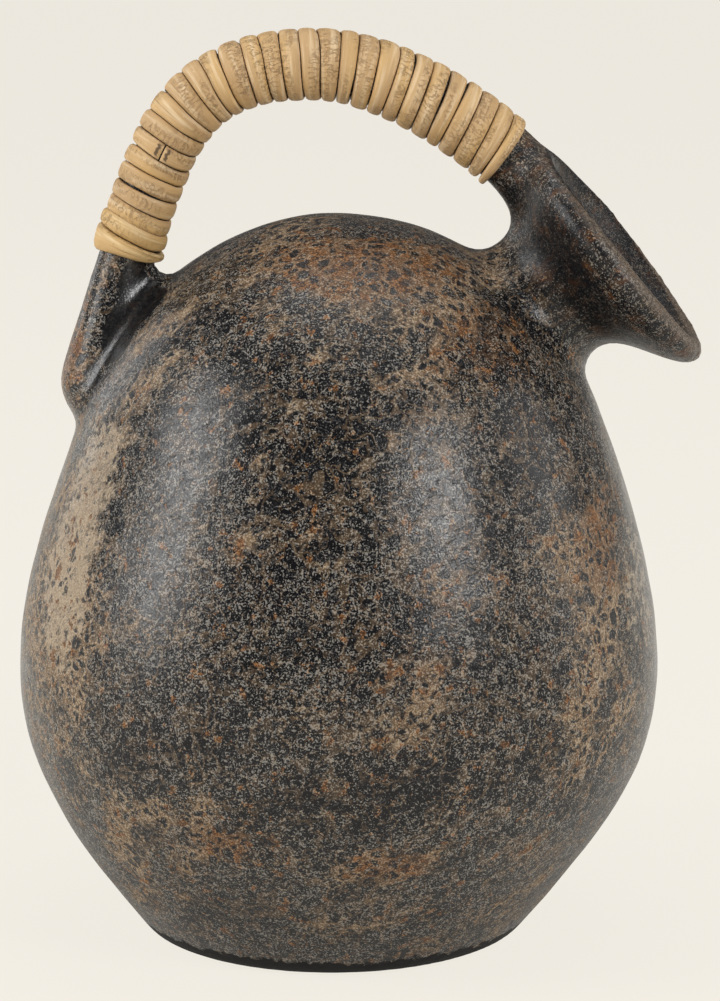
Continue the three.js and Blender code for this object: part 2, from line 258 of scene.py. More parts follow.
    def spots(self, vector: Value, marks: Sequence["Spot"]) -> Signal:
        """Return the sum of several spots' masks."""
        total = self.near(vector, marks[0]) * marks[0].weight
        for mark in marks[1:]:
            total = total + self.near(vector, mark) * mark.weight
        return total

    def bump(self, height: Signal, depth: float, strength: float) -> None:
        """Show a relief of about 0 to 1, so many millimetres deep, in the shader's normal."""
        values = {"Strength": strength, "Distance": depth * MM, "Height": height}
        made = self.node("ShaderNodeBump", {}, values)
        self.put(self.shader.inputs["Normal"], made.outputs[0])

    def wear(self, piece: Piece, sockets: dict[str, Value]) -> None:
        """Set the shader's sockets, and give the material to a piece.

        Args:
            piece: the piece's object.
            sockets: values or links of the shader's input sockets, by name.
        """
        for name, value in sockets.items():
            self.put(self.shader.inputs[name], value)
        piece.data.materials.clear()
        piece.data.materials.append(self.material)


@dataclass(frozen=True)
class Lumps:
    """Soft noise: its lumps' size, its finer layers, how strong these are, and what sets it apart."""

    size: float
    detail: float
    rough: float
    seed: float


@dataclass(frozen=True)
class Spot:
    """A soft place on the jug, in millimetres, where a finish is stronger."""

    middle: Triple
    reach: Triple
    weight: float = 1.0


@dataclass(frozen=True)
class MottledGlaze:
    """Dark reactive glaze with a fine grey grain, a tan net of veins and rusty spots."""

    spout_seat: Triple
    spout_axis: Triple
    spout_length: float
    mouth_radius: float
    mouth_lean: float
    black: Colour = (0.004, 0.004, 0.005)
    grey: Colour = (0.205, 0.192, 0.172)
    warm: Colour = (0.235, 0.195, 0.150)
    slate: Colour = (0.048, 0.048, 0.050)
    tan: Colour = (0.290, 0.185, 0.100)
    cream: Colour = (0.400, 0.315, 0.220)
    rust: Colour = (0.270, 0.118, 0.038)
    umber: Colour = (0.060, 0.025, 0.010)
    # painted sheen: lighter colour laid along the spout lip's crest, where light catches it
    lip_sheen: Colour = (0.170, 0.130, 0.095)
    # painted shade: near-black colour for the band round the base where it meets the floor
    foot: Colour = (0.005, 0.005, 0.005)
    slant: Triple = (0.0, math.radians(-30.0), 0.0)
    stretch: Triple = (1.9, 1.1, 0.8)
    coarse: Lumps = Lumps(40.0, 5.0, 0.62, 1.0)
    gloom: Lumps = Lumps(22.0, 6.0, 0.70, 21.0)
    vein: Lumps = Lumps(15.0, 3.0, 0.55, 41.0)
    middle: Lumps = Lumps(10.0, 5.0, 0.68, 5.0)
    thread: Lumps = Lumps(6.5, 2.0, 0.55, 47.0)
    streak: Lumps = Lumps(5.0, 4.0, 0.65, 61.0)
    spatter: Lumps = Lumps(4.6, 4.0, 0.66, 33.0)
    clump: Lumps = Lumps(3.2, 3.0, 0.62, 71.0)
    island: Lumps = Lumps(2.6, 3.0, 0.62, 51.0)
    grit: Lumps = Lumps(1.3, 2.5, 0.65, 13.0)
    fine: Lumps = Lumps(0.54, 1.0, 0.60, 9.0)
    cell: float = 4.6
    specular: float = 0.31
    pool_coat: float = 0.35
    coat_roughness: float = 0.30
    relief_depth: float = 0.34
    relief_share: float = 0.62
    tan_spots: tuple[Spot, ...] = (
        Spot((20, -40, 228), (75, 75, 26), 0.8),
        Spot((-60, -50, 200), (36, 60, 26), 0.8),
        Spot((-89, -44, 128), (26, 64, 66), 1.5),
        Spot((-90, -8, 200), (20, 30, 34), 0.8),
        Spot((-55, -90, 55), (40, 50, 22), 0.6),
        Spot((14, -85, 46), (32, 40, 16), 0.6),
        Spot((80, -60, 120), (30, 60, 60), 0.6),
        Spot((30, -90, 150), (30, 40, 26), 0.5),
    )
    rust_spots: tuple[Spot, ...] = (
        Spot((8, -35, 226), (50, 45, 15), 1.0),
        Spot((48, -50, 205), (30, 30, 18), 0.8),
        Spot((-33, -80, 54), (18, 40, 12), 1.1),
        Spot((16, -82, 47), (24, 40, 10), 1.0),
        Spot((84, -45, 140), (16, 40, 26), 0.8),
        Spot((-92, -10, 200), (14, 30, 30), 1.2),
        Spot((26, -90, 120), (30, 40, 30), 0.3),
    )
    dark_spots: tuple[Spot, ...] = (
        Spot((-12, -85, 178), (34, 50, 22), 0.9),
        Spot((66, -32, 222), (26, 26, 34), 1.3),
        Spot((62, -60, 170), (26, 45, 26), 0.6),
        Spot((-35, -100, 95), (40, 40, 18), 0.4),
        Spot((10, -95, 70), (50, 40, 18), 0.8),
        Spot((-20, -85, 30), (40, 30, 16), 0.7),
        Spot((-60, -80, 75), (24, 30, 14), 0.6),
    )
    plaster_spots: tuple[Spot, ...] = (
        Spot((-87, -52, 136), (18, 36, 50), 0.95),
        Spot((-79, -48, 168), (16, 30, 26), 0.85),
        Spot((96, -30, 120), (16, 30, 36), 0.5),
        Spot((-60, 84, 140), (40, 30, 34), 0.6),
    )
    pool_spots: tuple[Spot, ...] = (
        Spot((-64, -13, 214), (12, 16, 16), 1.0),
        Spot((-71, -17, 201), (9, 15, 14), 1.0),
        Spot((-79, -19, 189), (7, 10, 9), 0.4),
        Spot((-64, 13, 214), (12, 16, 16), 1.0),
        Spot((-72, 17, 200), (11, 16, 18), 1.0),
    )

    def dress(self, piece: Piece) -> None:
        """Give a piece this finish.

        Args:
            piece: the piece's object.
        """
        kit = Dressing("mottled_glaze")
        masks = GlazeMasks(self, kit)
        relief = masks.grain * 0.8 + masks.net * 0.30 + masks.rust * 0.15 - masks.island * 0.30
        kit.bump(relief * (1.0 - masks.pool * 0.25), self.relief_depth, self.relief_share)
        kit.wear(piece, {
            "Base Color": self._colour(kit, masks), "Roughness": masks.roughness(),
            "Specular IOR Level": self.specular, "Coat Roughness": self.coat_roughness,
            "Coat Weight": masks.pool * self.pool_coat,
        })

    def _colour(self, kit: Dressing, masks: "GlazeMasks") -> Socket:
        """Lay the colours over each other, from the grain to the painted shade round the foot.

        Args:
            kit: the material.
            masks: where each part of the glaze lies.

        Returns:
            The glaze's colour.
        """
        grain, rusty, rust = masks.grain, masks.rusty, masks.rust
        ground = kit.blend(masks.speckle, self.black, kit.blend(masks.tan * 0.6, self.grey, self.warm))
        wall = kit.layered(self.tan, [
            (rusty * 0.8, self.rust),
            (grain.above(0.45, 0.65) * (1.0 - rusty * 0.5), self.cream),
        ])
        smoky = kit.layered(self.black, [
            (masks.streak.above(0.50, 0.62), self.umber),
            (masks.streak.above(0.60, 0.72) * grain.above(0.42, 0.6), self.rust),
        ])
        return kit.layered(ground, [
            (masks.net * (0.45 + grain.above(0.42, 0.60) * 0.40) * (1.0 - rusty * 0.25), wall),
            (masks.plaster * (0.45 + grain.above(0.40, 0.62) * 0.40),
             kit.blend(rust, self.cream, self.tan)),
            (rust * 0.85, kit.blend(grain.above(0.44, 0.60), self.umber, self.rust)),
            (rust * (1.0 - rust) * grain.above(0.46, 0.58) * 2.4, self.cream),
            (masks.island * 0.88, kit.blend(masks.fine.above(0.50, 0.66), self.black, self.slate)),
            (masks.spout * (0.80 - masks.speckle * 0.60), smoky),
            # painted shade: the inside of the mouth darkened towards black
            (masks.funnel * 0.55, self.black),
            # painted sheen along the lip's crest, broken up by the grain
            (masks.lip * (0.32 + grain.above(0.38, 0.62) * 0.55), self.lip_sheen),
            (masks.pool * 0.92, self.black),
            # painted shade round the base, where it meets the floor
            (masks.foot, self.foot),
        ])


class GlazeMasks:
    """Masks, about 0 to 1, that say where each part of a mottled glaze lies."""

    def __init__(self, glaze: MottledGlaze, kit: Dressing) -> None:
        """Lay the masks out in a material's nodes.

        Args:
            glaze: the finish that they belong to.
            kit: the material.
        """
        self.glaze, self.kit, self.place = glaze, kit, kit.place()
        turned = {"Vector": self.place, "Rotation": glaze.slant, "Scale": glaze.stretch}
        self.slanted = kit.node("ShaderNodeMapping", {"vector_type": "TEXTURE"}, turned).outputs[0]
        self.loose = kit.warped(self.slanted, 12.0, 3.5)
        self.middle = kit.cloud(self.loose, glaze.middle)
        self.clump = kit.cloud(kit.warped(self.place, 5.0, 1.8), glaze.clump)
        self.fine = kit.cloud(self.place, glaze.fine)
        self.grain = self.fine * 0.62 + kit.cloud(self.place, glaze.grit) * 0.38
        self._zones()
        self._net()
        self._spout()
        self._ends()

    def _zones(self) -> None:
        """Lay out the dark, tan, rusty and plaster-like zones, and the speckle between them."""
        kit, glaze, place = self.kit, self.glaze, self.place
        dark = kit.cloud(self.loose, glaze.gloom) + kit.spots(place, glaze.dark_spots) * 0.15
        self.dark = dark.above(0.48, 0.66)
        tan = kit.cloud(self.loose, glaze.coarse) * 0.5 + self.middle * 0.5
        tan = (tan + kit.spots(place, glaze.tan_spots) * 0.11).above(0.475, 0.68)
        self.tan = tan * (1.0 - self.dark * 0.6)
        self.rusty = kit.spots(place, glaze.rust_spots).held()
        spatter = kit.cloud(kit.warped(place, 4.0, 1.5), glaze.spatter)
        self.rust = (spatter + self.rusty * 0.100 + self.tan * 0.03).above(0.605, 0.65)
        plaster = kit.spots(place, glaze.plaster_spots) + (self.middle - 0.5) * 1.8
        self.plaster = (plaster + (self.clump - 0.5) * 1.5).above(0.30, 0.70)
        shift = self.dark * 0.046 + self.rusty * 0.020 + 0.016 - (self.clump - 0.5) * 0.20
        self.speckle = self.grain.above(shift + 0.482, shift + 0.582)

    def _net(self) -> None:
        """Lay out the net of veins, threads and cell walls, and the dark islands in it."""
        kit, glaze, place = self.kit, self.glaze, self.place
        veins = abs(kit.cloud(kit.warped(place, 9.0, 4.0), glaze.vein) - 0.5).above(0.026, 0.008)
        threads = abs(kit.cloud(kit.warped(place, 6.0, 2.5), glaze.thread) - 0.5).above(0.030, 0.008)
        ragged = kit.warped(kit.warped(place, 5.0, 2.4), 1.4, 0.7)
        edge = Signal(kit, kit.cells(ragged, glaze.cell, "DISTANCE_TO_EDGE", "Distance"))
        choice = kit.axis(kit.cells(ragged, glaze.cell, "F1", "Color"), "X")
        crust = (self.tan + self.rusty * 0.5).above(0.20, 0.75)
        rings = edge.above(0.17, 0.07) * crust
        pits = edge.above(0.12, 0.20) * choice.above(0.58, 0.64) * crust
        self.net = (veins.most(threads * 0.8) * (0.36 + self.tan * 0.60)).most(rings)
        island = kit.cloud(kit.warped(self.slanted, 4.0, 1.6), glaze.island) + self.dark * 0.034
        self.island = island.above(0.575, 0.620).most(pits) * (1.0 - self.net)

    def _spout(self) -> None:
        """Lay out the smoky spout with its streaks, the painted sheen on its lip's crest and the painted
        shade inside its funnel.
        """
        kit, glaze, place = self.kit, self.glaze, self.place
        seated = kit.vector("SUBTRACT", place, glaze.spout_seat)
        reach = kit.measure("DOT_PRODUCT", seated, glaze.spout_axis)
        off_axis = kit.measure("LENGTH", kit.vector("CROSS_PRODUCT", seated, glaze.spout_axis))
        self.spout = reach.above(2.0, 12.0) * off_axis.above(78.0, 60.0)
        along = kit.joined(*(reach * part for part in glaze.spout_axis))
        drawn = kit.vector("SUBTRACT", place, kit.vector("SCALE", along, scale=0.82))
        self.streak = kit.cloud(drawn, glaze.streak)
        level = reach - kit.axis(place, "Y") * glaze.mouth_lean + (self.middle - 0.5) * 4.0
        rim, end = glaze.mouth_radius, glaze.spout_length
        # where the painted sheen lies: the crest of the lip, outside the mouth
        self.lip = level.above(end - 5.0, end - 0.6) * off_axis.above(rim - 6.4, rim - 5.4)
        # where the painted shade inside the funnel lies
        self.funnel = reach.above(8.0, 14.0) * off_axis.above(rim - 5.6, rim - 7.0)

    def _ends(self) -> None:
        """Lay out the pools at the handle's heel, the low part of the body and the painted shade round the
        foot.
        """
        pool = self.kit.spots(self.place, self.glaze.pool_spots) + (self.middle - 0.5) * 0.9
        self.pool = pool.above(0.25, 0.45)
        height = self.kit.axis(self.place, "Z")
        self.low = height.above(100.0, 15.0)
        # painted shade: a wavy band over the lowest few millimetres of the base; roughness() also makes it
        # matte
        self.foot = (height + (self.middle - 0.5) * 6.0 + (self.clump - 0.5) * 7.0).above(6.4, 5.2)

    def roughness(self) -> Signal:
        """Return the glaze's roughness."""
        return (0.22 + self.low * 0.26 + self.spout * 0.16 + self.tan * 0.12 + self.net * 0.10
                - self.pool * 0.10 + self.foot * 0.40)


class CaneTone(Enum):
    """Which cane a strip was split from: its shadow, body and bright colours."""

    STRAW = ((0.380, 0.225, 0.095), (0.610, 0.405, 0.198), (0.770, 0.600, 0.385))
    YELLOW = ((0.400, 0.245, 0.090), (0.640, 0.425, 0.185), (0.770, 0.595, 0.345))


@dataclass(frozen=True)
class SplitCane:
    """Outer skin of split cane: long fibres, painted shade along the edges, fine cracks, bright flecks
    partly painted as glints, and a dull shine.
    """

    tone: CaneTone
    knots: tuple[float, ...] = ()
    # painted shade in the gaps between turns, also the colour of the real splice scars
    gap_shade_and_scar: Colour = (0.050, 0.026, 0.012)
    honey: Colour = (0.620, 0.390, 0.145)
    fibre: Lumps = Lumps(1.0, 4.0, 0.7, 3.0)
    streak: Lumps = Lumps(1.0, 2.0, 0.6, 8.0)
    turn: Lumps = Lumps(1.0, 1.0, 0.5, 1.0)
    sunny: Lumps = Lumps(1.0, 1.0, 0.5, 43.0)
    split: Lumps = Lumps(1.0, 2.0, 0.6, 17.0)
    chip: Lumps = Lumps(1.0, 3.0, 0.7, 23.0)
    ply: Lumps = Lumps(1.0, 4.0, 0.6, 29.0)
    worn: Lumps = Lumps(1.0, 2.0, 0.5, 0.0)
    relief_depth: float = 0.40
    relief_share: float = 0.8

    def dress(self, piece: Piece) -> None:
        """Give a strip this finish, which follows its length.

        Args:
            piece: the strip's object.
        """
        kit = Dressing(f"cane_{self.tone.name.lower()}")
        along, across = kit.attribute("along"), kit.attribute("across")
        shade, body, bright = self.tone.value
        fibre = kit.cloud(kit.joined(across * 5.0, along * 0.05, 0.0), self.fibre)
        streak = kit.cloud(kit.joined(across * 1.6, along * 0.035, 4.0), self.streak)
        turn = kit.cloud(kit.joined(along * 0.016, 0.0, 9.0), self.turn)
        sunny = kit.cloud(kit.joined(along * 0.013, across * 0.15, 90.0), self.sunny)
        split = kit.cloud(kit.joined(across * 7.0, along * 0.02, 12.0), self.split).above(0.68, 0.74)
        chip = kit.cloud(kit.joined(across * 2.4, along * 1.1, 30.0), self.chip)
        # bright flecks: partly lighter flaked skin, partly painted glints
        flake_glint, chip = chip.above(0.36, 0.30), chip.above(0.68, 0.73)
        ply = abs(kit.cloud(kit.joined(across * 0.9, along * 0.55, 50.0), self.ply) - 0.5)
        worn = kit.cloud(kit.joined(along * 0.03, across * 0.4, 70.0), self.worn)
        wrinkle = ply.above(0.034, 0.008) * worn.above(0.44, 0.56)
        # masks of the painted shade along the strip's edges, where the gaps between turns lie
        rim, side = abs(across).above(0.62, 1.0), abs(across).above(0.93, 1.0)
        scars = [abs(along - mark + (streak - 0.5) * 3.0).above(0.9, 0.4) * abs(across).above(0.85, 0.6)
                 for mark in self.knots]
        colour = kit.layered(shade, [
            ((fibre * 0.7 + turn * 1.1 - 0.42).held(), body),
            (sunny.above(0.44, 0.62) * 0.6, self.honey),
            (streak.above(0.45, 0.75) * 0.7, bright),
            ((split * 0.6).most(chip * 0.7), shade),
            # painted glints, partly lighter flaked skin
            (flake_glint * 0.6, bright),
            *((scar * 0.85, self.gap_shade_and_scar) for scar in scars),
            # real wrinkles, and painted shade along the edges
            ((wrinkle * 0.70).most(rim * 0.30), shade),
            # painted shade at the very edges, in the gaps between turns
            (side * 0.7, self.gap_shade_and_scar),
        ])
        relief = fibre * 0.9 + streak * 0.4 - split * 0.8 - chip * 0.7 - wrinkle * 1.0
        kit.bump(relief, self.relief_depth, self.relief_share)
        kit.wear(piece, {"Base Color": colour, "Roughness": 0.48 + fibre * 0.2 + split * 0.2})


def mesh_object(name: str, made: Shape) -> Piece:
    """Turn a bmesh into a smooth-shaded object at the origin.

    Args:
        name: the object's name.
        made: the bmesh, which is freed.

    Returns:
        The object, linked to the scene.
    """
    mesh = bpy.data.meshes.new(name)
    made.to_mesh(mesh)
    made.free()
    for polygon in mesh.polygons:
        polygon.use_smooth = True
    piece = bpy.data.objects.new(name, mesh)
    bpy.context.scene.collection.objects.link(piece)
    return piece


def settle(piece: Piece) -> None:
    """Replace an object's mesh by what its modifiers make of it, and drop them."""
    bpy.context.view_layer.update()
    graph = bpy.context.evaluated_depsgraph_get()
    made = bpy.data.meshes.new_from_object(piece.evaluated_get(graph))
    piece.modifiers.clear()
    piece.data = made


def spun(outline: Sequence[Vector], steps: int, closed: bool) -> Shape:
    """Spin an outline round +Z.

    Args:
        outline: points of (radius, 0, height) in millimetres.
        steps: sides of the round.
        closed: whether the outline joins its own start; if not, its ends lie on the axis.

    Returns:
        A closed bmesh in metres, faces outwards.
    """
    made = bmesh.new()
    verts = [made.verts.new(point * MM) for point in outline]
    edges = [made.edges.new(pair) for pair in zip(verts, verts[1:])]
    if closed:
        edges.append(made.edges.new((verts[-1], verts[0])))
    bmesh.ops.spin(made, geom=verts + edges, cent=(0, 0, 0), axis=(0, 0, 1), angle=2 * math.pi,
                   steps=steps, use_merge=True)
    bmesh.ops.remove_doubles(made, verts=made.verts, dist=1e-6)
    bmesh.ops.recalc_face_normals(made, faces=made.faces)
    return made


def swept(rings: Sequence[Sequence[Vector]], lengths: Sequence[float] = (),
          shares: Sequence[float] = ()) -> Shape:
    """Extrude a face through a row of rings.

    Args:
        rings: rings of points in millimetres, all with the same count.
        lengths: each ring's length along the sweep, kept as the attribute "along".
        shares: each point's place across the section, kept as the attribute "across".

    Returns:
        A closed bmesh in metres, faces outwards.
    """
    made = bmesh.new()
    along = made.verts.layers.float.new("along")
    across = made.verts.layers.float.new("across")
    cap = made.faces.new([made.verts.new(point * MM) for point in rings[0]])
    for index, ring in enumerate(rings):
        if index:
            inner = cap
            grown = bmesh.ops.extrude_face_region(made, geom=[inner])["geom"]
            cap = next(item for item in grown if isinstance(item, bmesh.types.BMFace))
            if index > 1 and inner.is_valid:
                made.faces.remove(inner)
        for corner, (vert, point) in enumerate(zip(cap.verts, ring)):
            vert.co = point * MM
            vert[along] = lengths[index] if lengths else 0.0
            vert[across] = shares[corner] if shares else 0.0
    bmesh.ops.recalc_face_normals(made, faces=made.faces)
    return made


@dataclass
class BodyOutline:
    """Outline of the thrown body, in millimetres."""

    base_radius: float = 61.5
    base_round: float = 4.0
    belly_radius: float = 106.0
    belly_height: float = 89.0
    shoulder_radius: float = 83.6
    shoulder_height: float = 180.0
    shoulder_lean: float = 0.43
    foot_pull: tuple[float, float] = (0.74, 0.45)
    belly_pull: tuple[float, float] = (0.685, 0.264)
    shoulder_pull: tuple[float, float] = (0.33, 0.37)
    crown_pull: float = 0.545
    crown_height: float = 239.0
    wall: float = 7.0
    steps: int = 20
    sides: int = 96

    def curves(self) -> list[tuple[Vector, Vector, Vector, Vector]]:
        """Return the cubic curves from foot to belly, belly to shoulder and shoulder to crown."""
        spread = self.belly_radius - self.base_radius
        waist = self.shoulder_height - self.belly_height
        cap = self.crown_height - self.shoulder_height
        belly = flat(self.belly_radius, self.belly_height)
        shoulder = flat(self.shoulder_radius, self.shoulder_height)
        lean = flat(-self.shoulder_lean, 1.0)
        (out, rise), (under, over) = self.foot_pull, self.belly_pull
        before, after = self.shoulder_pull
        return [
            (flat(self.base_radius, 0.0), flat(self.base_radius + out * spread, rise * self.belly_height),
             flat(self.belly_radius, under * self.belly_height), belly),
            (belly, flat(self.belly_radius, self.belly_height + over * waist),
             shoulder - lean * before * waist, shoulder),
            (shoulder, shoulder + lean * after * cap,
             flat(self.crown_pull * self.shoulder_radius, self.crown_height), flat(0.0, self.crown_height)),
        ]

    def side(self) -> list[Vector]:
        """Return the outer outline from the foot to the crown."""
        points: list[Vector] = []
        for curve in self.curves():
            points.extend(interpolate_bezier(*curve, self.steps)[:-1])
        points.append(flat(0.0, self.crown_height))
        return points

    def moved(self, offset: float) -> list[Vector]:
        """Return the outline moved along its normals.

        Args:
            offset: how far outwards, in millimetres.

        Returns:
            The moved points, the last one on the axis.
        """
        points = self.side()
        made = []
        for index, point in enumerate(points):
            before = points[max(index - 1, 0)]
            after = points[min(index + 1, len(points) - 1)]
            along = (after - before).normalized()
            made.append(point + Vector((along.z, 0.0, -along.x)) * offset)
        made[-1] = flat(0.0, self.crown_height + offset)
        return made

    def radius(self, height: float) -> float:
        """Return the outer radius at a height."""
        points = self.side()
        for low, high in zip(points, points[1:]):
            if low.z <= height <= high.z:
                share = (height - low.z) / (high.z - low.z)
                return low.x + (high.x - low.x) * share
        return 0.0

    def outer(self) -> list[Vector]:
        """Return the outside from the middle of the base to the crown, the lower edge rounded."""
        reach = self.base_radius - self.base_round
        corner = flat(self.base_radius, 0.0)
        rise = flat(self.radius(self.base_round), self.base_round)
        edge = interpolate_bezier(flat(reach, 0.0), corner, corner, rise, 6)
        above = [point for point in self.side() if point.z > self.base_round + 0.5]
        return [flat(0.0, 0.0), flat(0.5 * reach, 0.0), *edge, *above]

    def filled(self, offset: float, low: float) -> list[Vector]:
        """Return the outline of a filled body, its side moved outwards, over a flat bottom."""
        above = [point for point in self.moved(offset) if point.z > low and point.x >= 0.0]
        return [flat(0.0, low), flat(above[0].x, low), *above]


@dataclass
class SpoutShape:
    """The thrown trumpet and its place on the shoulder, in millimetres."""

    body: BodyOutline
    seat_height: float = 209.5
    angle: float = 38.0
    length: float = 36.2
    droop: float = 3.6
    throat_radius: float = 22.8
    throat_height: float = 6.0
    bore_radius: float = 17.5
    mouth_radius: float = 44.3
    lip_round: float = 5.0
    lip_low: int = -42
    lip_top: int = 90
    lip_high: int = 140
    lip_step: int = 12
    flare_steps: int = 14
    dip: float = 1.6
    dip_zone: tuple[float, float] = (5.0, 40.0)
    mouth_lean: float = 0.055
    buried: float = 6.0
    sides: int = 72
    drill_sides: int = 48
    drill_length: float = 40.0
    core_past: float = 30.0

    def matrix(self) -> Matrix:
        """Return the spout's place: its own +Z is its axis and +X runs down the slope."""
        turn = math.pi / 2 - math.radians(self.angle)
        seat = flat(self.body.radius(self.seat_height), self.seat_height)
        return Matrix.Translation(seat * MM) @ Matrix.Rotation(turn, 4, "Y")

    def _lip(self, degrees: float) -> tuple[Vector, Vector]:
        """Return a point of the lip's round and the way along it, at an angle from the mouth's plane."""
        angle = math.radians(degrees)
        middle = flat(self.mouth_radius - self.lip_round, self.length - self.lip_round)
        point = middle + flat(math.cos(angle), math.sin(angle)) * self.lip_round
        return point, flat(-math.sin(angle), math.cos(angle))

    def outer(self) -> list[Vector]:
        """Return the outside from the buried root to the top of the lip."""
        tip, along = self._lip(self.lip_low)
        rise = tip.z - self.throat_height
        throat = flat(self.throat_radius, self.throat_height)
        flare = interpolate_bezier(throat, throat + flat(0.0, 0.45 * rise), tip - along * 0.5 * rise, tip,
                                   self.flare_steps)
        angles = range(self.lip_low + self.lip_step, self.lip_top + 1, self.lip_step)
        lip = [self._lip(angle)[0] for angle in angles]
        return [flat(self.throat_radius, -self.buried), *flare, *lip]

    def inner(self) -> list[Vector]:
        """Return the inside from the lip down the funnel to the end of the bore."""
        start, along = self._lip(self.lip_high)
        fall = start.z - self.throat_height
        throat = flat(self.bore_radius, self.throat_height)
        angles = range(self.lip_top + self.lip_step, self.lip_high, self.lip_step)
        lip = [self._lip(angle)[0] for angle in angles]
        funnel = interpolate_bezier(start, start + along * 0.55 * fall, throat + flat(0.0, 0.5 * fall),
                                    throat, self.flare_steps)
        return [*lip, *funnel, flat(self.bore_radius, -self.buried)]

    def settled(self, made: Shape) -> Shape:
        """Slide, dip and lean a straight spout's mouth, and carry the whole to its seat."""
        for vert in made.verts:
            share = smooth_step(vert.co.z / MM, self.throat_height, self.length)
            vert.co.z -= self.dip * share * smooth_step(-vert.co.x / MM, *self.dip_zone) * MM
            vert.co.z += self.mouth_lean * share * vert.co.y
            vert.co.x += self.droop * share * MM
        bmesh.ops.transform(made, matrix=self.matrix(), verts=made.verts)
        return made

    def ring(self) -> Shape:
        """Return the hollow trumpet."""
        return self.settled(spun([*self.outer(), *self.inner()], self.sides, True))

    def core(self, inset: float) -> Shape:
        """Return the filled trumpet drawn in by an inset and carried on past its mouth."""
        widest = self.length - self.lip_round
        side = [flat(point.x - inset, point.z) for point in self.outer() if point.z <= widest]
        past = self.length + self.core_past
        rim = self.mouth_radius - inset
        outline = [flat(0.0, -self.buried), *side, flat(rim, past), flat(0.0, past)]
        return self.settled(spun(outline, self.sides, False))

    def drill(self) -> Shape:
        """Return the rod that opens the body's wall under the spout."""
        made = bmesh.new()
        radius = self.bore_radius * MM
        bmesh.ops.create_cone(made, cap_ends=True, segments=self.drill_sides, radius1=radius,
                              radius2=radius, depth=self.drill_length * MM)
        bmesh.ops.transform(made, matrix=self.matrix(), verts=made.verts)
        return made


@dataclass
class HandleArch:
    """Centreline and thickness of the handle, in millimetres."""

    body: BodyOutline
    spout: SpoutShape
    radius_spout: float = 10.6
    radius_leg: float = 9.2
    clearance: float = 38.1
    apex_x: float = -8.0
    root_reach: float = 44.0
    root_buried: float = 22.0
    root_sink: float = 1.4
    root_lean: float = 46.0
    leg_length: float = 52.0
    leg_lean: float = 17.8
    heel_height: float = 186.0
    heel_standoff: float = 1.2
    heel_half_width: float = 17.0
    spout_rim: float = 35.3
    root_pull: float = 0.4
    apex_pull: tuple[float, float] = (0.3, 0.66)
    leg_pull: float = 0.6
    run_steps: int = 60
    rings: int = 60
    sides: int = 28
    points: list[Vector] = field(default_factory=list)
    reach: list[float] = field(default_factory=list)
    stations: list[float] = field(default_factory=list)

    def __post_init__(self) -> None:
        """Lay the centreline out once."""
        top = self.body.crown_height + self.clearance + self.radius_spout
        under = self.spout_rim - self.radius_spout - self.root_sink
        seat = self.spout.matrix()

        def in_spout(uphill: float) -> Vector:
            """Return a point of the root in the jug's frame."""
            return (seat @ (Vector((self.spout.droop - uphill, 0.0, under)) * MM)) / MM

        buried, root = in_spout(self.root_buried), in_spout(self.root_reach)
        apex = flat(self.apex_x, top)
        lean = math.radians(self.leg_lean)
        down = flat(-math.sin(lean), -math.cos(lean))
        heel = flat(-self.body.radius(self.heel_height) - self.heel_standoff, self.heel_height)
        leg_top = heel - down * self.leg_length
        inside = flat(heel.x + self.radius_leg, self.heel_height - 2.0 * self.radius_leg)
        bend = heel + down * 0.8 * self.radius_leg
        turn = math.radians(self.root_lean)
        leave = flat(-math.sin(turn), math.cos(turn))
        right, left = root.x - apex.x, apex.x - leg_top.x
        fore, back = self.apex_pull
        runs = [
            (buried, buried.lerp(root, 1 / 3), buried.lerp(root, 2 / 3), root),
            (root, root + leave * self.root_pull * right, flat(apex.x + fore * right, top), apex),
            (apex, flat(apex.x - back * left, top), leg_top - down * self.leg_pull * left, leg_top),
            (leg_top, leg_top.lerp(heel, 1 / 3), leg_top.lerp(heel, 2 / 3), heel),
            (heel, heel.lerp(bend, 2 / 3), inside.lerp(bend, 2 / 3), inside),
        ]
        self.points = [buried]
        self.reach = [0.0]
        for run in runs:
            for point in interpolate_bezier(*run, self.run_steps)[1:]:
                self.reach.append(self.reach[-1] + (point - self.points[-1]).length)
                self.points.append(point)
            self.stations.append(self.reach[-1])

    def at(self, distance: float) -> tuple[Vector, Vector, float, float]:
        """Return the handle's frame at a distance along it.

        Args:
            distance: distance from the buried end.

        Returns:
            Centre, outward direction, half depth and half width.
        """
        distance = min(max(distance, 0.0), self.reach[-1])
        high = next(i for i, far in enumerate(self.reach) if far >= distance and i > 0)
        share = (distance - self.reach[high - 1]) / (self.reach[high] - self.reach[high - 1])
        centre = self.points[high - 1].lerp(self.points[high], share)
        early, late = self.points[max(high - 3, 0)], self.points[min(high + 2, len(self.points) - 1)]
        along = (late - early).normalized()
        taper = smooth_step(distance, self.stations[0], self.stations[2])
        depth = self.radius_spout + (self.radius_leg - self.radius_spout) * taper
        leg = self.stations[3] - self.stations[2]
        spread = smooth_step(distance, self.stations[2] + 0.2 * leg, self.stations[3])
        width = depth + (self.heel_half_width - depth) * spread
        return centre, Vector((along.z, 0.0, -along.x)), depth, width

    def surface(self, distance: float, angle: float, height: float) -> Vector:
        """Return a point over the core.

        Args:
            distance: distance along the handle.
            angle: angle from the outer side towards the front.
            height: height over the core.

        Returns:
            The point in millimetres.
        """
        centre, outward, depth, width = self.at(distance)
        side = Vector((0.0, -1.0, 0.0))
        return (centre + outward * (depth + height) * math.cos(angle)
                + side * (width + height) * math.sin(angle))

    def rod(self, start: float, end: float) -> Shape:
        """Return a length of the pulled rod.

        Args:
            start: share of the whole length where it starts.
            end: share of the whole length where it ends.

        Returns:
            The closed rod.
        """
        rings = []
        for step in range(self.rings + 1):
            far = self.reach[-1] * (start + (end - start) * step / self.rings)
            angles = [-2 * math.pi * side / self.sides for side in range(self.sides)]
            rings.append([self.surface(far, angle, 0.0) for angle in angles])
        return swept(rings)


